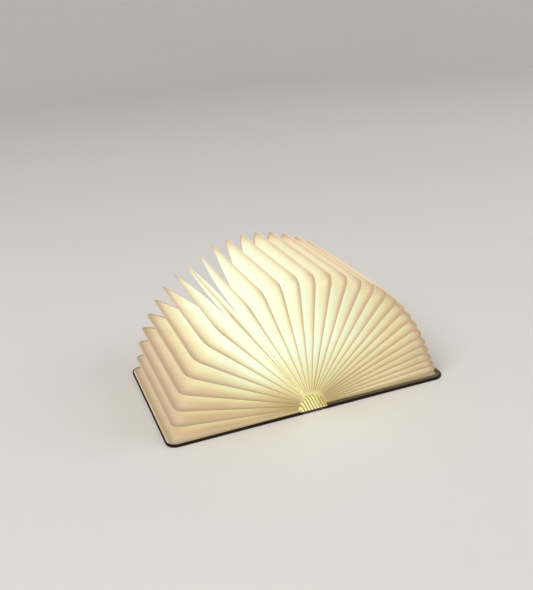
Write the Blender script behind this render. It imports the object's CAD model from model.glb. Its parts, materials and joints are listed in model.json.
"""Finishes a folding book lamp round its construction model: leaves, cloth, wood and stage."""
import json
import math
import random
from typing import NamedTuple

import bmesh
import bpy
from bpy.props import FloatProperty, FloatVectorProperty, IntProperty, PointerProperty
from mathutils import Matrix, Vector

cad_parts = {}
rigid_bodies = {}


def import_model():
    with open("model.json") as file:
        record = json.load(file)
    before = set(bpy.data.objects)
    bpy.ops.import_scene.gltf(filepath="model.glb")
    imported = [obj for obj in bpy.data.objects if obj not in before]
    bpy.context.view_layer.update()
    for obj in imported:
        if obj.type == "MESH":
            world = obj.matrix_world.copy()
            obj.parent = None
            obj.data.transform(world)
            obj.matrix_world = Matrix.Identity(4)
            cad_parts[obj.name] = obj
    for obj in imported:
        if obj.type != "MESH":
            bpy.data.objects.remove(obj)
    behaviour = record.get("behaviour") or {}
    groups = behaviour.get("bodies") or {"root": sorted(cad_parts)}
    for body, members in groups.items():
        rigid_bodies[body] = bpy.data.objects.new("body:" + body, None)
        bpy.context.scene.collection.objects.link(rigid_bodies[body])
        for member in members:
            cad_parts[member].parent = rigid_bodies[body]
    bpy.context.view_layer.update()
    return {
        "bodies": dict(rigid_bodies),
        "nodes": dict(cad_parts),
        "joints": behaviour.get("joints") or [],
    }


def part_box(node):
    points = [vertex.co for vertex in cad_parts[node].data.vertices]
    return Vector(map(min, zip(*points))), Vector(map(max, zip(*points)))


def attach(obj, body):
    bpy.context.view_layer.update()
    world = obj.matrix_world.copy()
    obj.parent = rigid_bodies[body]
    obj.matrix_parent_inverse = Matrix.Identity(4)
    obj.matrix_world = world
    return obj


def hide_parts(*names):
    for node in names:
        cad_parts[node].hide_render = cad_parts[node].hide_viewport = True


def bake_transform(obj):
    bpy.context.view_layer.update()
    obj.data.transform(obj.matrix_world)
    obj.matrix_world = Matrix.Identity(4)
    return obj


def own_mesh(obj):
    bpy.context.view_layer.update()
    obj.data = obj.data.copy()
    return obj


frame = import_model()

bl_info = {
    "name": "Folding book lamp",
    "version": (1, 0, 0),
    "blender": (4, 5, 0),
    "location": "3D View > Sidebar > Book lamp",
    "description": "Makes the leaves, cloth, finishes and stage of a folding book lamp",
    "category": "Object",
}

MM = 0.001
JOINTS = {joint["name"]: joint for joint in frame["joints"]}
LEAVES = sorted(name for name in frame["bodies"] if name.startswith("leaf_"))
SIDES = {"left": -1, "right": 1}


# ---------- settings ----------

class PaperSettings(bpy.types.PropertyGroup):
    """Sizes and colours of the leaves."""
    seam: FloatProperty(
        name="Seam", description="Width of the joined border round each leaf",
        default=2.2 * MM, unit="LENGTH")
    swell: FloatProperty(
        name="Swell", description="Share of the gap beside a leaf that each of its faces fills",
        default=0.44, min=0, max=0.46)
    most_swell: FloatProperty(
        name="Most swell", description="Most that a face stands off the middle of its leaf",
        default=6.4 * MM, unit="LENGTH")
    swell_width: FloatProperty(
        name="Swell width", description="Distance from its seam over which a leaf swells",
        default=62 * MM, unit="LENGTH")
    waviness: FloatProperty(
        name="Waviness", description="Share of the gap beside a leaf through which it bows",
        default=0.05, min=0, max=0.08)
    shade_spread: FloatProperty(
        name="Shade spread", default=1.9, min=0.5,
        description="Width of the shade along an edge, as a multiple of the gap beside the leaf")
    comb_width: FloatProperty(
        name="Comb width", description="Width of the pleated paper at the ends of the spine",
        default=34 * MM, unit="LENGTH")
    comb_pleats: IntProperty(
        name="Comb pleats", description="Number of pleats at each end of the spine", default=9)
    comb_lay: FloatProperty(
        name="Comb lay", description="How far each pleat is pressed over to one side",
        default=4.5 * MM, unit="LENGTH")
    pleat_depth: FloatProperty(
        name="Pleat depth", description="Height of the pleats",
        default=0.9 * MM, unit="LENGTH")
    shaded_margin: FloatProperty(
        name="Shaded margin", description="Width of the shaded border of the right endpaper",
        default=6 * MM, unit="LENGTH")
    glow: FloatProperty(
        name="Glow", description="Strength of the light that comes through the paper",
        default=1.0, min=0)
    seed: IntProperty(name="Seed", description="Seed of the bows in the leaves", default=7)
    dim: FloatVectorProperty(
        name="Dim paper", description="Light through the paper along its edges",
        subtype="COLOR", default=(0.17, 0.12, 0.05))
    tan: FloatVectorProperty(
        name="Tan paper", description="Light through the paper near its edges",
        subtype="COLOR", default=(0.36, 0.25, 0.135))
    lit: FloatVectorProperty(
        name="Lit paper", description="Light through the paper where it is well lit",
        subtype="COLOR", default=(0.53, 0.49, 0.275))
    bright: FloatVectorProperty(
        name="Bright paper", description="Light through the paper where it is brightest",
        subtype="COLOR", default=(0.615, 0.705, 0.535))
    root: FloatVectorProperty(
        name="Paper at the root", description="Light through the paper next to the diffuser",
        subtype="COLOR", default=(0.47, 0.405, 0.16))
    low_root: FloatVectorProperty(
        name="Root of the low leaves", description="The same, next to the covers",
        subtype="COLOR", default=(0.27, 0.205, 0.07))
    furrow: FloatVectorProperty(
        name="Furrow", description="Light in the furrows between the roots of the leaves",
        subtype="COLOR", default=(0.13, 0.095, 0.02))


class WoodSettings(bpy.types.PropertyGroup):
    """Colours of the walnut and of the dark cloth and board."""
    dark: FloatVectorProperty(
        name="Dark grain", description="Colour of the late wood and the pores",
        subtype="COLOR", default=(0.035, 0.019, 0.012))
    middle: FloatVectorProperty(
        name="Middle", description="Main colour of the wood",
        subtype="COLOR", default=(0.135, 0.067, 0.038))
    light: FloatVectorProperty(
        name="Light streaks", description="Colour of the light streaks",
        subtype="COLOR", default=(0.25, 0.135, 0.076))
    board: FloatVectorProperty(
        name="Board edge", description="Colour of the stained edge of the cover boards",
        subtype="COLOR", default=(0.009, 0.005, 0.003))
    cloth: FloatVectorProperty(
        name="Cloth", description="Colour of the hinge cloth",
        subtype="COLOR", default=(0.018, 0.013, 0.011))


class StageSettings(bpy.types.PropertyGroup):
    """Camera, lights and floor."""
    camera_place: FloatVectorProperty(
        name="Camera place", description="Where the camera stands",
        subtype="TRANSLATION", default=(-0.2913, -0.8508, 0.468))
    camera_turn: FloatProperty(
        name="Turn", description="How far the camera is turned to the right",
        subtype="ANGLE", default=math.radians(18.25))
    camera_dip: FloatProperty(
        name="Dip", description="How far the camera looks down",
        subtype="ANGLE", default=math.radians(21.65))
    camera_roll: FloatProperty(
        name="Roll", description="How far the camera is rolled",
        subtype="ANGLE", default=math.radians(-4.97))
    lens: FloatProperty(
        name="Lens", description="Focal length for a sensor 36 mm along its long side",
        default=47.69, unit="CAMERA")
    floor: FloatVectorProperty(
        name="Floor", description="Colour of the floor", subtype="COLOR",
        default=(0.69, 0.67, 0.64))
    key_power: FloatProperty(
        name="Key light", description="Power of the main soft light", default=120, unit="POWER")
    fill_power: FloatProperty(
        name="Fill light", description="Power of the side light", default=45, unit="POWER")
    room: FloatProperty(
        name="Room light", description="Strength of the light from all round", default=0.42)


# ---------- shader maths ----------

class Socket:
    """A shader socket that Python arithmetic works on: each expression adds its nodes."""

    def __init__(self, tree, link=None):
        self.tree = tree
        self.link = link

    def node(self, kind, settings=None, sockets=None, output=0):
        """Adds a node, sets it up, fills its sockets and gives one of its outputs."""
        made = self.tree.nodes.new(kind)
        for name, value in (settings or {}).items():
            setattr(made, name, value)
        for name, value in (sockets or {}).items():
            if isinstance(value, Socket):
                self.tree.links.new(value.link, made.inputs[name])
            else:
                made.inputs[name].default_value = value
        return Socket(self.tree, made.outputs[output])

    def maths(self, operation, first, second):
        """Adds a node for one sum of two sockets or numbers."""
        return self.node("ShaderNodeMath", {"operation": operation}, {0: first, 1: second})

    def __add__(self, other):
        return self.maths("ADD", self, other)

    def __radd__(self, other):
        return self.maths("ADD", other, self)

    def __sub__(self, other):
        return self.maths("SUBTRACT", self, other)

    def __rsub__(self, other):
        return self.maths("SUBTRACT", other, self)

    def __mul__(self, other):
        return self.maths("MULTIPLY", self, other)

    def __rmul__(self, other):
        return self.maths("MULTIPLY", other, self)

    def __truediv__(self, other):
        return self.maths("DIVIDE", self, other)

    def smooth(self, low, high):
        """0 below low, 1 above high, and an even curve between."""
        return self.node(
            "ShaderNodeMapRange", {"interpolation_type": "SMOOTHSTEP"},
            {"Value": self, "From Min": low, "From Max": high})

    def mix(self, colour_a, colour_b):
        """Colour a where this value is 0, and colour b where it is 1."""
        in_a, in_b, out = 6, 7, 2  # the node's sockets for colours: the names are not unique
        return self.node(
            "ShaderNodeMix", {"data_type": "RGBA"},
            {"Factor": self, in_a: opaque(colour_a), in_b: opaque(colour_b)}, output=out)

    def scaled(self, scale):
        """A vector with each of its parts multiplied."""
        return self.node(
            "ShaderNodeVectorMath", {"operation": "MULTIPLY"}, {0: self, 1: scale})

    def along_x(self):
        """The x part of a vector."""
        return self.node("ShaderNodeSeparateXYZ", None, {"Vector": self}, output="X")

    def noise(self, scale, detail=4.0, roughness=0.55):
        """Noise with scale waves to the metre, where this vector is the place."""
        return self.node(
            "ShaderNodeTexNoise", None,
            {"Vector": self, "Scale": scale, "Detail": detail, "Roughness": roughness})

    def grain(self, stretch, **noise):
        """Noise whose scale along the spine is stretch times its scale across."""
        return self.scaled((1.0, stretch, 1.0)).noise(**noise)

    def ramp(self, stops):
        """The colour that a ramp of (place, colour) stops has at this value."""
        made = self.node("ShaderNodeValToRGB", None, {"Fac": self})
        elements = made.link.node.color_ramp.elements
        while len(elements) < len(stops):
            elements.new(1.0)
        for element, (place, colour) in zip(elements, stops):
            element.position = place
            element.color = opaque(colour)
        return made

    def bump(self, distance, strength):
        """A surface normal from this height, with relief up to distance."""
        return self.node(
            "ShaderNodeBump", None,
            {"Height": self, "Distance": distance, "Strength": strength})


def opaque(colour):
    """A colour as a node socket takes it, with a fourth number."""
    return colour if isinstance(colour, Socket) else (*colour[:3], 1.0)


def scaled_colour(colour, scale):
    """A lighter or darker colour, with no part above 1."""
    return [min(1.0, scale * part) for part in colour]


def new_material(name, constants, build):
    """A material whose Principled shader has constants, and what build gives it from nodes."""
    material = bpy.data.materials.new(name)
    material.use_nodes = True
    tree = material.node_tree
    shader = tree.nodes["Principled BSDF"]
    for socket, value in constants.items():
        shader.inputs[socket].default_value = value
    for socket, field in build(Socket(tree)).items():
        tree.links.new(field.link, shader.inputs[socket])
    return material


def place_in_object(start):
    """The point's place in the lamp, in metres."""
    return start.node("ShaderNodeTexCoord", output="Object")


def attribute(start, name):
    """A number that the vertices of a piece carry."""
    return start.node("ShaderNodeAttribute", {"attribute_name": name}, output="Fac")


# ---------- finishes ----------

# What each vertex of a page carries for its material
PAGE_KEYS = (
    "inward",  # distance in from the nearest free edge
    "reach",   # distance out from the root
    "fore",    # distance in from the fore edge
    "side",    # distance in from the nearer end
    "light",   # how brightly the leaf is lit
    "gap",     # angle to the next leaf
    "furrow",  # strength of the dark line at the root
    "lean",    # angle from upright
)
# How brightly the leaves by the covers and the endpapers are lit, where an upright leaf has 1
LOW_LIGHT = 0.73
ENDPAPER_LIGHT = {"left": 0.62, "right": 0.34}
FIBRES = {"scale": 900.0, "detail": 6.0, "roughness": 0.7}

# Colours of the leaves' surface, and of the light through their hems and shades
PAPER_SKIN = {
    "grey": (0.30, 0.27, 0.22), "pale": (0.42, 0.39, 0.33), "edge": (0.24, 0.19, 0.13),
    "furrow": (0.12, 0.09, 0.04), "hem": (0.52, 0.42, 0.34), "shade": (0.055, 0.035, 0.02),
}
PAPER_LIGHT = {
    "low_hem": (0.24, 0.17, 0.11), "hem": (0.34, 0.27, 0.18), "shade": (0.02, 0.012, 0.005),
}
WARMER, COOLER = (1.03, 0.97, 0.92), (0.97, 1.0, 1.02)

# The same for the pleated paper at the ends of the spine
COMB_SKIN = {
    "crease": (0.05, 0.04, 0.015), "dark": (0.22, 0.19, 0.10), "pale": (0.30, 0.27, 0.16),
}
COMB_LIGHT = {
    "crease": (0.06, 0.045, 0.006), "yellow": (0.66, 0.62, 0.20),
    "amber": (0.46, 0.26, 0.04), "hem": (0.86, 0.74, 0.46),
}


def page_depth(page, upright, spread):
    """Depth in from the edges of a leaf, as a share of the width of the shade along them."""
    least_shade, fore_boost = 8 * MM, 0.12
    depth = page["inward"] / (page["reach"] * page["gap"] * spread + least_shade)
    by_fore_edge = (page["side"] - page["fore"]).smooth(-10 * MM, 40 * MM)
    return depth + upright * by_fore_edge * fore_boost


def page_level(page, depth):
    """How much light comes through a place: less at the edges, far out and on low leaves."""
    light, lean = page["light"], page["lean"]
    quick, slow = depth.smooth(0.0, 0.3), depth.smooth(-0.25, 1.0)
    outer = page["reach"].smooth(60 * MM, 175 * MM)
    at_edge, quick_rise, slow_rise, outer_fall, upright_edge_rise = 0.25, 0.24, 0.60, 0.09, 0.75
    level = light * (at_edge + quick_rise * quick + slow_rise * slow - outer_fall * outer)
    level = level + (light - LOW_LIGHT) * (1 - slow) * upright_edge_rise
    # The outer parts are a little darker high and low on the right, and lighter low on the left
    high_right = lean.smooth(-0.05, 0.25) * (1 - lean.smooth(0.75, 1.1))
    low_right = lean.smooth(1.2, 1.45)
    low_left = (0 - lean).smooth(0.6, 1.2)
    level = level - (high_right * 0.16 + low_right * 0.10) * outer
    return level + low_left * (outer * 0.08 - 0.05)


def seam_line(inward, seam):
    """1 along the joint of the two sheets of a leaf, and 0 a millimetre to its sides."""
    return inward.smooth(seam - 1.0 * MM, seam) - inward.smooth(seam, seam + 0.8 * MM)


def spun_paper(name, paper, margin=0.0):
    """Spun paper, lit through from its root, darker along its sides, brown in a shaded margin."""
    def build(start):
        page = {key: attribute(start, key) for key in PAGE_KEYS}
        inward, reach, light = page["inward"], page["reach"], page["light"]
        place = place_in_object(start)
        fibres = place.grain(0.55, **FIBRES)
        cloud = place.noise(scale=38.0, detail=3.0)
        drift = place.noise(scale=21.0, detail=2.0).smooth(0.35, 0.65)
        upright = light.smooth(0.78, 0.98)
        depth = page_depth(page, upright, paper.shade_spread)
        level = page_level(page, depth) + (cloud - 0.5) * 0.10 + (fibres - 0.5) * 0.07
        level = level - seam_line(inward, paper.seam) * 0.06
        near_root = 1 - reach.smooth(2 * MM, 75 * MM)
        furrow = 1 - inward.smooth(0.2 * MM, 1.6 * MM)
        furrow = furrow * (1 - reach.smooth(30 * MM, 130 * MM)) * page["furrow"]
        hem = 1 - page["fore"].smooth(paper.seam - 0.6 * MM, paper.seam)

        through = level.ramp([(0.12, paper.dim), (0.45, paper.tan), (0.68, paper.lit),
                              (0.93, paper.bright)])
        root = light.smooth(LOW_LIGHT, 0.95).mix(paper.low_root, paper.root)
        through = (near_root * 0.8).mix(through, root)
        through = through.scaled(drift.mix(WARMER, COOLER))
        through = furrow.mix(through, paper.furrow)
        through_hem = upright.mix(PAPER_LIGHT["low_hem"], PAPER_LIGHT["hem"])
        through = (hem * 0.6).mix(through, through_hem)

        skin = (0.5 * cloud + 0.5 * fibres).mix(PAPER_SKIN["grey"], PAPER_SKIN["pale"])
        skin = (depth.smooth(0.0, 0.3) * 0.9 + 0.1).mix(PAPER_SKIN["edge"], skin)
        skin = (furrow * 0.8).mix(skin, PAPER_SKIN["furrow"])
        skin = (hem * 0.8).mix(skin, PAPER_SKIN["hem"])
        if margin:
            shade = 1 - inward.smooth(0.8 * margin, margin)
            skin = (shade * 0.95).mix(skin, PAPER_SKIN["shade"])
            through = shade.mix(through, PAPER_LIGHT["shade"])
        return {"Base Color": skin, "Emission Color": through,
                "Normal": fibres.bump(distance=0.10 * MM, strength=0.5)}
    return new_material(name, {
        "Roughness": 0.72, "Sheen Weight": 0.12, "Emission Strength": paper.glow,
    }, build)


def root_paper(name, paper):
    """Pleated paper over the lamps: lit yellow, with darker creases and an amber side."""
    def build(start):
        fold = attribute(start, "inward").smooth(0.12, 0.8)
        height = attribute(start, "reach")
        place = place_in_object(start)
        fibres = place.noise(**FIBRES)
        blotches = (place.noise(scale=160.0, detail=2.0) - 0.5) * 12 * MM
        amber = (place.along_x() + blotches).smooth(3 * MM, 13 * MM)
        hem = 1 - height.smooth(0.1 * MM, 2.2 * MM)
        lit = (amber * 0.85).mix(COMB_LIGHT["yellow"], COMB_LIGHT["amber"])
        lit = (hem * 0.8).mix(lit, COMB_LIGHT["hem"])
        through = (fold * (0.85 + 0.3 * fibres)).mix(COMB_LIGHT["crease"], lit)
        skin = (0.6 * fibres).mix(COMB_SKIN["dark"], COMB_SKIN["pale"])
        skin = fold.mix(COMB_SKIN["crease"], skin)
        return {"Base Color": skin, "Emission Color": through,
                "Normal": fibres.bump(distance=0.08 * MM, strength=0.5)}
    return new_material(name, {"Roughness": 0.7, "Emission Strength": paper.glow}, build)


def walnut(name, wood, seed):
    """Oiled walnut with its grain along the spine, cut at another place for each seed."""
    def build(start):
        place = place_in_object(start)
        place = place.node("ShaderNodeVectorMath", {"operation": "ADD"},
                           {0: place, 1: (0.31 * seed, 0.17 * seed, 0.05 * seed)})
        drift = place.grain(0.16, scale=14.0, detail=2.0)
        bands = place.grain(0.05, scale=95.0, detail=5.0, roughness=0.6)
        streaks = place.grain(0.025, scale=420.0, detail=4.0, roughness=0.7)
        pore = place.grain(0.05, scale=1900.0, detail=2.0, roughness=0.5).smooth(0.56, 0.66)
        tone = 0.55 * bands + 0.25 * drift + 0.2 * streaks
        colour = tone.ramp([(0.36, wood.dark), (0.5, wood.middle), (0.66, wood.light)])
        relief = 0.35 * streaks - pore
        return {"Base Color": (pore * 0.7).mix(colour, wood.dark),
                "Roughness": 0.40 + pore * 0.25 + bands * 0.12,
                "Normal": relief.bump(distance=0.12 * MM, strength=0.55)}
    return new_material(name, {
        "Coat Weight": 0.06, "Coat Roughness": 0.35, "Specular IOR Level": 0.3,
    }, build)


def stained_board(name, wood):
    """Pressed board, stained dark, with its layers showing along the edge."""
    def build(start):
        place = place_in_object(start)
        layers = place.scaled((0.12, 0.12, 1.0)).noise(scale=2600.0, detail=3.0)
        wear = place.noise(scale=170.0, detail=5.0, roughness=0.65).smooth(0.58, 0.74)
        worn = scaled_colour(wood.board, 3.4)
        return {"Base Color": (wear * 0.5 + layers * 0.25).mix(wood.board, worn),
                "Roughness": 0.6 + 0.2 * layers,
                "Normal": layers.bump(distance=0.08 * MM, strength=0.5)}
    return new_material(name, {"Specular IOR Level": 0.2}, build)


def book_cloth(name, wood):
    """Fine plain-woven book cloth."""
    def build(start):
        place = place_in_object(start)
        threads = [
            place.node("ShaderNodeTexWave", {"bands_direction": direction},
                       {"Vector": place, "Scale": 420.0, "Distortion": 0.4, "Detail": 1.0})
            for direction in "XY"]
        weave = start.maths("MAXIMUM", *threads)
        lint = place.noise(scale=260.0, detail=4.0)
        lighter = scaled_colour(wood.cloth, 3.0)
        return {"Base Color": (0.45 * weave + 0.3 * lint).mix(wood.cloth, lighter),
                "Roughness": 0.74 + 0.15 * weave,
                "Normal": weave.bump(distance=0.09 * MM, strength=0.7)}
    return new_material(name, {"Sheen Weight": 0.2}, build)


def lit_diffuser(name):
    """Milky ribbed plastic over the lamps: yellow, and more orange towards the battery end."""
    def build(start):
        place = place_in_object(start)
        side = place.along_x().smooth(-9 * MM, 10 * MM)
        spots = place.grain(0.6, scale=210.0, detail=3.0)
        amber = (side * 0.75 + (spots - 0.5) * 0.5).smooth(0.25, 0.9)
        return {"Emission Color": amber.mix((0.96, 0.90, 0.50), (0.86, 0.56, 0.16)),
                "Base Color": (spots * 0.4).mix((0.80, 0.72, 0.45), (0.62, 0.50, 0.25))}
    return new_material(name, {"Roughness": 0.38, "Emission Strength": 0.5}, build)


def moulded_plastic(name, colour, roughness=0.42):
    """Moulded plastic with a fine spark texture."""
    def build(start):
        place = place_in_object(start)
        spark = place.noise(scale=1500.0, detail=3.0, roughness=0.6)
        tint = place.noise(scale=60.0, detail=3.0)
        darker = scaled_colour(colour, 0.86)
        return {"Base Color": (0.5 * tint + 0.3 * spark).mix(colour, darker),
                "Roughness": roughness + 0.14 * spark,
                "Normal": spark.bump(distance=0.05 * MM, strength=0.4)}
    return new_material(name, {"Coat Weight": 0.05}, build)


def bare_metal(name, colour, roughness=0.3):
    """Drawn or plated metal with faint lines and smudges."""
    def build(start):
        place = place_in_object(start)
        lines = place.scaled((1.0, 1.0, 0.06)).noise(scale=2400.0, detail=3.0)
        smudge = place.noise(scale=240.0, detail=4.0)
        darker = scaled_colour(colour, 0.72)
        return {"Base Color": (0.6 * smudge).mix(colour, darker),
                "Roughness": roughness - 0.08 + 0.25 * smudge,
                "Normal": lines.bump(distance=0.03 * MM, strength=0.4)}
    return new_material(name, {"Metallic": 1.0}, build)


def circuit_board(name, mask, copper):
    """Solder mask with tracks showing through."""
    def build(start):
        place = place_in_object(start)
        cells = place.node(
            "ShaderNodeTexVoronoi", {"distance": "MANHATTAN", "feature": "F1"},
            {"Vector": place, "Scale": 420.0})
        track = cells.smooth(0.34, 0.38) * 0.6
        dust = place.noise(scale=500.0, detail=3.0)
        return {"Base Color": (track + 0.1 * dust).mix(mask, copper),
                "Roughness": 0.3 + 0.2 * dust,
                "Normal": track.bump(distance=0.04 * MM, strength=0.6)}
    return new_material(name, {}, build)


def glowing(name, colour, strength):
    """A small part that gives light."""
    def build(start):
        cells = place_in_object(start).noise(scale=900.0, detail=3.0)
        return {"Emission Color": cells.mix(colour, scaled_colour(colour, 1.2))}
    return new_material(name, {
        "Base Color": opaque(colour), "Roughness": 0.3, "Emission Strength": strength,
    }, build)


def finish_nodes(material, slot, *names):
    """Gives CAD nodes a finish, in every slot of their meshes."""
    for name in names:
        node = frame["nodes"][name]
        node.data.materials.clear()
        node.data.materials.append(material)


# ---------- meshes ----------

def join_rows(build, first, second, closed=True):
    """Faces between two rows of as many vertices each."""
    count = len(first)
    for i in range(count if closed else count - 1):
        j = (i + 1) % count
        build.faces.new([first[i], first[j], second[j], second[i]])


def finished_mesh(build, name, smooth=True):
    """What was built, as a mesh whose faces all point out."""
    bmesh.ops.recalc_face_normals(build, faces=build.faces)
    for face in build.faces:
        face.smooth = smooth
    mesh = bpy.data.meshes.new(name)
    build.to_mesh(mesh)
    build.free()
    return mesh


def new_piece(name, mesh, material):
    """An object of the lamp, linked into the scene."""
    piece = bpy.data.objects.new(name, mesh)
    bpy.context.scene.collection.objects.link(piece)
    mesh.materials.append(material)
    return piece


# ---------- leaves ----------

# Radii of the corners of the leaves and endpapers, as in the construction model
LEAF_FORE_R = 13 * MM
LEAF_ROOT_R = 15 * MM
ENDPAPER_FORE_R = 11.5 * MM
LEAST_R = 0.4 * MM

# Where the rings of a page lie, as shares of half its length in from its edge
PAGE_INSETS = (0, 0.009, 0.018, 0.028, 0.036, 0.05, 0.075, 0.11, 0.16, 0.22, 0.3, 0.39, 0.49,
               0.6, 0.72, 0.84, 0.93)


class Page(NamedTuple):
    """A leaf or an endpaper: its root, its outline, how it leans and how it is lit."""
    root: Vector
    lean: float
    length: float
    width: float
    fore_r: float
    root_r: float
    gap: float
    light: float
    furrow: float


def turned(lean):
    """Directions out along a page and off its face, where the page leans from upright."""
    out = Vector((math.sin(lean), 0, math.cos(lean)))
    off = Vector((math.cos(lean), 0, -math.sin(lean)))
    return out, off


def lean_of(leaf):
    """How far a leaf leans from upright at rest: its joint stands it up when the book closes."""
    return -max((math.radians(limit) for limit in JOINTS[leaf + "_hinge"]["range_deg"]), key=abs)


def page_ring(page, inset):
    """(reach, across) points round a page, inset from its edge, as many for every inset."""
    arc_steps, side_steps = 6, 10
    quarter = 0.5 * math.pi
    low, high = inset, page.length - inset
    half = page.width / 2 - inset
    root_r = max(page.root_r - inset, LEAST_R)
    fore_r = max(page.fore_r - inset, LEAST_R)
    corners = [
        (low + root_r, root_r - half, root_r, 2 * quarter),
        (high - fore_r, fore_r - half, fore_r, 3 * quarter),
        (high - fore_r, half - fore_r, fore_r, 0.0),
        (low + root_r, half - root_r, root_r, quarter),
    ]
    arcs = []
    for middle_u, middle_v, radius, start in corners:
        turns = [start + quarter * step / arc_steps for step in range(arc_steps + 1)]
        arcs.append([(middle_u + radius * math.cos(turn), middle_v + radius * math.sin(turn))
                     for turn in turns])
    points = []
    for arc, following in zip(arcs, arcs[1:] + arcs[:1]):
        points += arc
        for step in range(1, side_steps):
            share = step / side_steps
            points.append(tuple(a + (b - a) * share for a, b in zip(arc[-1], following[0])))
    return points


def edge_distance(u, v, page):
    """Distance from a point of a page to its free edges: the root doesn't count as one."""
    past_u = u - (page.length - page.fore_r)
    past_v = abs(v) - (page.width / 2 - page.fore_r)
    if past_u > 0 and past_v > 0:
        return page.fore_r - math.hypot(past_u, past_v)
    return page.fore_r - max(past_u, past_v)


def page_mesh(name, page, thickness):
    """A page of two sheets. thickness(u, v, inward, face) is how far a face stands off."""
    rings = [page_ring(page, share * page.length / 2) for share in PAGE_INSETS]
    out, off = turned(page.lean)
    build = bmesh.new()
    layers = [build.verts.layers.float.new(key) for key in PAGE_KEYS]
    edges = []
    for face in (-1, 1):
        sheet = []
        for ring in rings:
            row = []
            for u, v in ring:
                inward = edge_distance(u, v, page)
                stand = thickness(u, v, inward, face)
                vert = build.verts.new(page.root + out * u + Vector((0, v, 0)) + off * stand)
                values = (inward, u, page.length - u, page.width / 2 - abs(v),
                          page.light, page.gap, page.furrow, page.lean)
                for layer, value in zip(layers, values):
                    vert[layer] = value
                row.append(vert)
            sheet.append(row)
        for outer, inner in zip(sheet, sheet[1:]):
            first, second = (outer, inner) if face < 0 else (inner, outer)
            join_rows(build, first, second)
        build.faces.new(sheet[-1] if face < 0 else sheet[-1][::-1])
        edges.append(sheet[0])
    join_rows(build, edges[1], edges[0])
    for edge in edges:
        for vert, following in zip(edge, edge[1:] + edge[:1]):
            build.edges.get([vert, following]).smooth = False
    return finished_mesh(build, name)


def leaf_light(lean):
    """How brightly a leaf is lit: 1 upright, LOW_LIGHT by the covers, a bit more at the right."""
    brightest, spread, more_at_right = math.radians(-2), math.radians(60), 0.045
    upright = math.exp(-((lean - brightest) / spread) ** 4)
    return LOW_LIGHT + (1 - LOW_LIGHT) * upright + more_at_right * math.sin(lean)


def build_leaf(name, gap, paper, material):
    """One leaf, swollen a little between its seams, on its own body."""
    lean = lean_of(name)
    root = Vector(JOINTS[name + "_hinge"]["pos_m"])
    out, off = turned(lean)
    corners = [Vector(vert.co) for vert in frame["nodes"][name].data.vertices]
    length = max((corner - root).dot(out) for corner in corners)
    half_t = max((corner - root).dot(off) for corner in corners)
    low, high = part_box(name)
    width = high.y - low.y
    dice = random.Random(f"{name} {paper.seed}")
    tilt, bow, phase = dice.uniform(-1, 1), dice.uniform(-1, 1), dice.uniform(0, math.tau)
    page = Page(root, lean, length, width, LEAF_FORE_R, LEAF_ROOT_R, gap,
                light=leaf_light(lean), furrow=dice.uniform(0.35, 1.0))
    stiff_root, bow_waves = 4 * MM, 0.8

    def thickness(u, v, inward, face):
        side_gap = gap * max(u - stiff_root, 0)
        open_share = min(max((inward - paper.seam) / paper.swell_width, 0.0), 1.0)
        open_share = math.sin(0.5 * math.pi * open_share)
        swell = min(paper.swell * side_gap, paper.most_swell) * open_share
        bend = math.sin(math.tau * bow_waves * v / width + phase)
        wave = 0.5 * tilt * v / (width / 2) + 0.5 * bow * bend
        return face * (half_t + swell) + paper.waviness * side_gap * wave

    piece = new_piece(name + "_paper", page_mesh(name + "_paper", page, thickness), material)
    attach(piece, name)
    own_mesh(piece)
    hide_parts(name)


def build_endpaper(side_name, side, gap, material):
    """The outermost leaf of each half, pasted to the inside of its cover."""
    node = side_name + "_endpaper"
    low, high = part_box(node)
    half_t = (high.z - low.z) / 2
    root = Vector((low.x if side > 0 else high.x, 0, (low.z + high.z) / 2))
    page = Page(root, side * math.pi / 2, high.x - low.x, high.y - low.y, ENDPAPER_FORE_R,
                LEAST_R, gap, light=ENDPAPER_LIGHT[side_name], furrow=1.0)
    mesh = page_mesh(node + "_sheet", page, lambda u, v, inward, face: face * half_t)
    piece = new_piece(node + "_sheet", mesh, material)
    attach(piece, side_name + "_cover")
    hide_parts(node)


# ---------- pleated ends of the spine ----------

# Rows up the front of a comb, as shares of its height, and over its top, as depths in from
# the ends of the leaves
COMB_FRONT = (0.0, 0.03, 0.08, 0.18, 0.32, 0.48, 0.64, 0.8, 0.9, 0.96, 1.0)
COMB_TOP = [depth * MM for depth in (2.6, 3.6, 5.0, 6.6, 8.4, 10.4, 12.6)]


def leaf_cut(depth, corner_r):
    """How far from its root a leaf starts, at a depth in from its end: its corner is cut round."""
    if depth >= corner_r:
        return 0.0
    return corner_r - math.sqrt(corner_r ** 2 - (corner_r - depth) ** 2)


def comb_profile(cap, foot_z, half_foot):
    """Rows of (distance from the middle, height, half width) up a comb, and its full height."""
    cap_low, cap_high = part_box(cap)
    board_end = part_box("left_board")[1].y
    leaf_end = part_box(LEAVES[0])[1].y
    hinge_x = -JOINTS[LEAVES[0] + "_hinge"]["pos_m"][0]
    foot_y = board_end - 0.2 * MM
    brow = leaf_end - max(abs(cap_low.y), abs(cap_high.y)) + 0.4 * MM
    crown = cap_high.z + 1.3 * MM - foot_z
    setback, climb, cut_filled, top_fall = 1.3, 0.9, 0.94, 0.10
    profile = [(foot_y - share ** setback * (board_end - leaf_end + brow),
                crown * share ** climb, half_foot) for share in COMB_FRONT]
    for depth in COMB_TOP:
        half = min(half_foot, hinge_x + cut_filled * leaf_cut(depth, LEAF_ROOT_R))
        profile.append((leaf_end - depth, crown - top_fall * depth, half))
    return profile, crown


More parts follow.
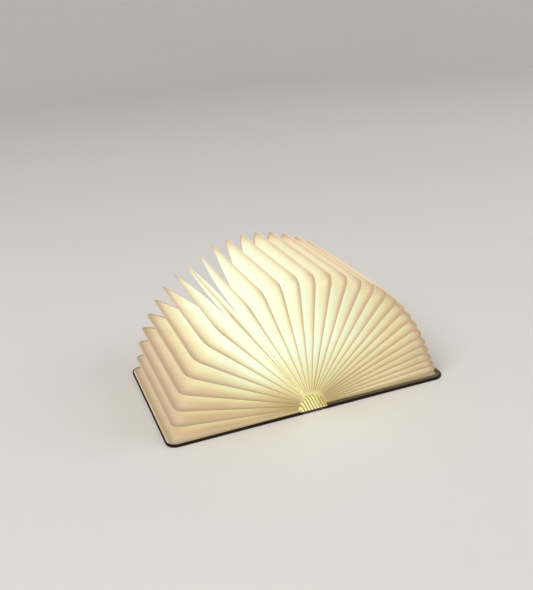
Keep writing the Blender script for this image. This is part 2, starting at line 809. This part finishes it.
def build_comb(name, cap, end, paper, material):
    """Pleated paper over one end of the spine, filling the round cut at the leaves' roots."""
    steps = 24 * paper.comb_pleats
    arch_power, arch_ease, pleat_power = 4, 0.6, 2.2
    side_pleat, side_rise, lean_in = 0.35, 8, 0.6
    foot_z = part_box("left_endpaper")[1].z + 0.15 * MM
    profile, crown = comb_profile(cap, foot_z, paper.comb_width / 2)
    build = bmesh.new()
    fold_layer = build.verts.layers.float.new("inward")
    height_layer = build.verts.layers.float.new("reach")
    rows = []
    for y, height, half in profile:
        row = []
        lay = paper.comb_lay * height / crown
        facing = 1 - min(height / crown, 1.0)
        for step in range(steps + 1):
            across = 2 * step / steps - 1
            x = half * across
            arch = (1 - abs(across) ** arch_power) ** arch_ease
            phase = (x + lay) / paper.comb_width * paper.comb_pleats
            fold = 1 - abs(2 * (phase - math.floor(phase)) - 1) ** pleat_power
            full_share = min(1.0, side_pleat + side_rise * (1 - abs(across)))
            rise = paper.pleat_depth * fold * full_share
            z = foot_z + height * arch + rise * (1 - lean_in * facing)
            vert = build.verts.new((x, end * (y + rise * facing), z))
            vert[fold_layer], vert[height_layer] = fold, height
            row.append(vert)
        rows.append(row)
    for lower, upper in zip(rows, rows[1:]):
        join_rows(build, lower, upper, closed=False)
    bmesh.ops.recalc_face_normals(build, faces=build.faces)
    bmesh.ops.solidify(build, geom=list(build.faces), thickness=0.25 * MM)
    piece = new_piece(name, finished_mesh(build, name), material)
    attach(piece, "spine")
    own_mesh(piece)


# ---------- hinge cloth ----------

HINGE_CLEARANCE = 0.03 * MM


def inner_x(node):
    """Distance from the middle of the spine to the near side of a node in a cover."""
    low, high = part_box(node)
    return min(abs(low.x), abs(high.x))


def build_inner_cloth(side_name, side, material):
    """Cloth that crosses the hinge inside, from the spine's side to the cloth in the cover."""
    spine_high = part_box("spine_backing")[1]
    cloth = side_name + "_hinge_cloth"
    cloth_low, cloth_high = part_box(cloth)
    above_spine, overlap = 0.3 * MM, 0.05 * MM
    start = (spine_high.x + HINGE_CLEARANCE, spine_high.z + above_spine)
    end = (inner_x(cloth) + overlap, (cloth_low.z + cloth_high.z) / 2)
    hinge_strip(side_name + "_inner_hinge", side, material,
                (cloth_low.y, cloth_high.y), start, end, thick=0.3 * MM, arch=-0.35 * MM)


def build_outer_cloth(side_name, side, material):
    """Cloth pressed into the groove outside, between the spine slats and the cover's board."""
    slat_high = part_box("spine_slat_4")[1]
    board = side_name + "_board"
    board_low, board_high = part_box(board)
    middle_z = 1.1 * MM
    start = (slat_high.x + HINGE_CLEARANCE, middle_z)
    end = (inner_x(board) - HINGE_CLEARANCE, middle_z)
    hinge_strip(side_name + "_outer_hinge", side, material,
                (board_low.y, board_high.y), start, end, thick=1.4 * MM, arch=0.55 * MM)


def hinge_strip(name, side, material, ends, start, end, thick, arch):
    """A strip of cloth from (x, z) start on the spine to end on the cover, arched between them."""
    steps = 8
    build = bmesh.new()
    rows = []
    for y in ends:
        top, bottom = [], []
        for step in range(steps + 1):
            share = step / steps
            x = start[0] + (end[0] - start[0]) * share
            z = start[1] + (end[1] - start[1]) * share + arch * math.sin(math.pi * share)
            top.append(build.verts.new((side * x, y, z + thick / 2)))
            bottom.append(build.verts.new((side * x, y, z - thick / 2)))
        rows.append(top + bottom[::-1])
        build.faces.new(rows[-1])
    join_rows(build, *rows)
    piece = new_piece(name, finished_mesh(build, name, smooth=False), material)
    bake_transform(piece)


# ---------- stage ----------

def area_light(name, place, target, size, power, colour):
    """A soft square light that faces a point."""
    light = bpy.data.lights.new(name, "AREA")
    light.shape = "SQUARE"
    light.size = size
    light.energy = power
    light.color = colour
    lamp = bpy.data.objects.new(name, light)
    lamp.location = place
    lamp.rotation_euler = (Vector(target) - Vector(place)).to_track_quat("-Z", "Y").to_euler()
    bpy.context.scene.collection.objects.link(lamp)


def stage_floor(colour):
    """A pale round floor that curves up into a wall all round."""
    disc_r, flat_r, bend_r, top = 1.0, 3.2, 2.2, 2.35
    bend_steps, turn_steps = 16, 96
    profile = [(disc_r, 0.0), (flat_r, 0.0)]
    for step in range(1, bend_steps + 1):
        turn = 0.5 * math.pi * step / bend_steps
        profile.append((flat_r + bend_r * math.sin(turn), bend_r - bend_r * math.cos(turn)))
    profile.append((flat_r + bend_r, top))
    mesh = bpy.data.meshes.new("floor")
    verts = []
    for radius, height in profile:
        for step in range(turn_steps):
            turn = math.tau * step / turn_steps
            verts.append((radius * math.cos(turn), radius * math.sin(turn), height))
    faces = [tuple(range(turn_steps))]
    for ring in range(len(profile) - 1):
        for step in range(turn_steps):
            i, j = ring * turn_steps + step, ring * turn_steps + (step + 1) % turn_steps
            faces.append((i, i + turn_steps, j + turn_steps, j))
    mesh.from_pydata(verts, [], faces)
    mesh.polygons.foreach_set("use_smooth", [True] * len(mesh.polygons))

    def build(start):
        cloud = place_in_object(start).noise(scale=1.6, detail=2.0)
        return {"Base Color": cloud.mix(colour, scaled_colour(colour, 1.04))}
    floor = new_piece("floor", mesh, new_material("stage_floor", {"Roughness": 0.85}, build))


def stage_camera(settings):
    """The camera, from its place, turn, dip and roll."""
    camera = bpy.data.cameras.new("camera")
    camera.sensor_fit = "AUTO"
    camera.sensor_width = 36.0
    camera.lens = settings.lens
    camera.clip_start, camera.clip_end = 0.01, 60.0
    turn, dip, roll = settings.camera_turn, settings.camera_dip, settings.camera_roll
    ahead = Vector((math.sin(turn) * math.cos(dip), math.cos(turn) * math.cos(dip),
                    -math.sin(dip)))
    level = Vector((math.cos(turn), -math.sin(turn), 0))
    above = level.cross(ahead)
    right = level * math.cos(roll) + above * math.sin(roll)
    up = above * math.cos(roll) - level * math.sin(roll)
    pose = Matrix((right, up, -ahead)).transposed().to_4x4()
    pose.translation = settings.camera_place
    holder = bpy.data.objects.new("camera", camera)
    holder.matrix_world = pose
    bpy.context.scene.collection.objects.link(holder)
    bpy.context.scene.camera = holder


# ---------- operators ----------

class LAMP_OT_stage(bpy.types.Operator):
    """Add the camera, the floor and the lights"""
    bl_idname = "book_lamp.stage"
    bl_label = "Stage"

    def execute(self, context):
        settings = context.scene.book_lamp_stage
        stage_camera(settings)
        stage_floor(settings.floor)
        lamp_middle = (0, 0, 0.06)
        area_light("key_light", place=(-2.4, -1.6, 3.4), target=lamp_middle, size=2.4,
                   power=settings.key_power, colour=(1.0, 0.985, 0.96))
        area_light("fill_light", place=(3.0, -1.4, 2.2), target=lamp_middle, size=2.6,
                   power=settings.fill_power, colour=(0.95, 0.975, 1.0))
        world = bpy.data.worlds.new("room")
        world.use_nodes = True
        background = world.node_tree.nodes["Background"]
        background.inputs["Color"].default_value = (1.0, 1.0, 1.0, 1.0)
        background.inputs["Strength"].default_value = settings.room
        context.scene.world = world
        context.scene.view_settings.view_transform = "Standard"
        return {"FINISHED"}


class LAMP_OT_leaves(bpy.types.Operator):
    """Make the paper leaves and the two endpapers"""
    bl_idname = "book_lamp.leaves"
    bl_label = "Leaves"

    def execute(self, context):
        paper = context.scene.book_lamp_paper
        material = spun_paper("spun_paper", paper)
        leans = [-math.pi / 2] + [lean_of(leaf) for leaf in LEAVES] + [math.pi / 2]
        gaps = [after - before for before, after in zip(leans, leans[1:])]
        for leaf, gap_before, gap_after in zip(LEAVES, gaps, gaps[1:]):
            build_leaf(leaf, min(gap_before, gap_after), paper, material)
        shaded = spun_paper("shaded_paper", paper, paper.shaded_margin)
        build_endpaper("left", SIDES["left"], gaps[0], material)
        build_endpaper("right", SIDES["right"], gaps[-1], shaded)
        return {"FINISHED"}


class LAMP_OT_combs(bpy.types.Operator):
    """Make the pleated paper at the two ends of the spine"""
    bl_idname = "book_lamp.combs"
    bl_label = "Combs"

    def execute(self, context):
        paper = context.scene.book_lamp_paper
        material = root_paper("root_paper", paper)
        build_comb("near_comb", "near_cap", -1, paper, material)
        build_comb("far_comb", "far_cap", 1, paper, material)
        return {"FINISHED"}


class LAMP_OT_covers(bpy.types.Operator):
    """Finish the covers: walnut, board, magnets and hinge cloth"""
    bl_idname = "book_lamp.covers"
    bl_label = "Covers"

    def execute(self, context):
        wood = context.scene.book_lamp_wood
        board = stained_board("stained_board", wood)
        cloth = book_cloth("book_cloth", wood)
        nickel = bare_metal("nickel_plate", (0.62, 0.60, 0.56))
        for side_name, side in SIDES.items():
            finish_nodes(walnut(side_name + "_walnut", wood, 2 + side), "walnut",
                         side_name + "_veneer")
            finish_nodes(board, "cover_core", side_name + "_board")
            finish_nodes(cloth, "black_cloth", side_name + "_hinge_cloth")
            finish_nodes(nickel, "nickel", side_name + "_magnets")
            build_inner_cloth(side_name, side, cloth)
            build_outer_cloth(side_name, side, cloth)
        finish_nodes(nickel, "nickel", "trigger_magnet")
        return {"FINISHED"}


class LAMP_OT_spine(bpy.types.Operator):
    """Finish the spine: slats, backing, tray, diffuser, caps and screws"""
    bl_idname = "book_lamp.spine"
    bl_label = "Spine"

    def execute(self, context):
        wood = context.scene.book_lamp_wood
        slats = sorted(name for name in frame["nodes"] if name.startswith("spine_slat"))
        for number, slat in enumerate(slats):
            finish_nodes(walnut(slat + "_walnut", wood, 5 + number), "walnut", slat)
        finish_nodes(book_cloth("spine_cloth", wood), "black_cloth", "spine_backing")
        ivory = moulded_plastic("ivory_plastic", (0.80, 0.74, 0.60))
        finish_nodes(ivory, "ivory_plastic", "tray", "near_cap", "far_cap")
        finish_nodes(lit_diffuser("lit_diffuser"), "diffuser_plastic", "diffuser")
        finish_nodes(bare_metal("screw_steel", (0.34, 0.33, 0.32)), "screw_steel", "cap_screws")
        return {"FINISHED"}


class LAMP_OT_electrics(bpy.types.Operator):
    """Finish the cell, the boards, the lamps, the port and the button"""
    bl_idname = "book_lamp.electrics"
    bl_label = "Electrics"

    def execute(self, context):
        finishes = [
            (bare_metal("cell_foil", (0.70, 0.71, 0.73), 0.4), "cell_foil", ["battery_cell"]),
            (moulded_plastic("pad_foam", (0.06, 0.06, 0.06), 0.8), "foam", ["cell_pad"]),
            (moulded_plastic("wire_jacket", (0.45, 0.02, 0.02)), "wire_insulation",
             ["cell_leads"]),
            (circuit_board("white_board", (0.82, 0.82, 0.80), (0.60, 0.50, 0.30)), "white_board",
             ["led_board"]),
            (circuit_board("green_board", (0.01, 0.12, 0.04), (0.10, 0.22, 0.08)), "green_board",
             ["control_board"]),
            (glowing("led_phosphor", (1.0, 0.80, 0.28), 4.0), "led_phosphor", ["leds"]),
            (bare_metal("port_steel", (0.56, 0.56, 0.57)), "port_steel", ["charging_port"]),
            (moulded_plastic("chip_black", (0.02, 0.02, 0.02), 0.5), "chip_black",
             ["tact_switch", "hall_sensor"]),
            (moulded_plastic("button_plastic", (0.78, 0.72, 0.58), 0.3), "ivory_plastic",
             ["mode_button"]),
            (glowing("indicator", (0.25, 0.9, 0.35), 0.8), "clear_plastic", ["light_pipe"]),
        ]
        for material, slot, names in finishes:
            finish_nodes(material, slot, *names)
        return {"FINISHED"}


class LAMP_PT_panel(bpy.types.Panel):
    """Lists what can be built"""
    bl_idname = "LAMP_PT_panel"
    bl_label = "Book lamp"
    bl_space_type = "VIEW_3D"
    bl_region_type = "UI"
    bl_category = "Book lamp"

    def draw(self, context):
        for operator in BUILDERS:
            self.layout.operator(operator.bl_idname)
        for group in GROUPS:
            settings = getattr(context.scene, group)
            box = self.layout.box()
            for key in settings.bl_rna.properties.keys()[1:]:
                box.prop(settings, key)


GROUPS = {
    "book_lamp_paper": PaperSettings,
    "book_lamp_wood": WoodSettings,
    "book_lamp_stage": StageSettings,
}
BUILDERS = (LAMP_OT_stage, LAMP_OT_covers, LAMP_OT_spine, LAMP_OT_electrics, LAMP_OT_leaves,
            LAMP_OT_combs)
CLASSES = (*GROUPS.values(), *BUILDERS, LAMP_PT_panel)


def register():
    for cls in CLASSES:
        bpy.utils.register_class(cls)
    for name, group in GROUPS.items():
        setattr(bpy.types.Scene, name, PointerProperty(type=group))


def unregister():
    for name in GROUPS:
        delattr(bpy.types.Scene, name)
    for cls in reversed(CLASSES):
        bpy.utils.unregister_class(cls)


def main():
    """Builds everything in order."""
    register()
    bpy.ops.book_lamp.stage()
    bpy.ops.book_lamp.covers()
    bpy.ops.book_lamp.spine()
    bpy.ops.book_lamp.electrics()
    bpy.ops.book_lamp.leaves()
    bpy.ops.book_lamp.combs()


if __name__ == "__main__":
    main()
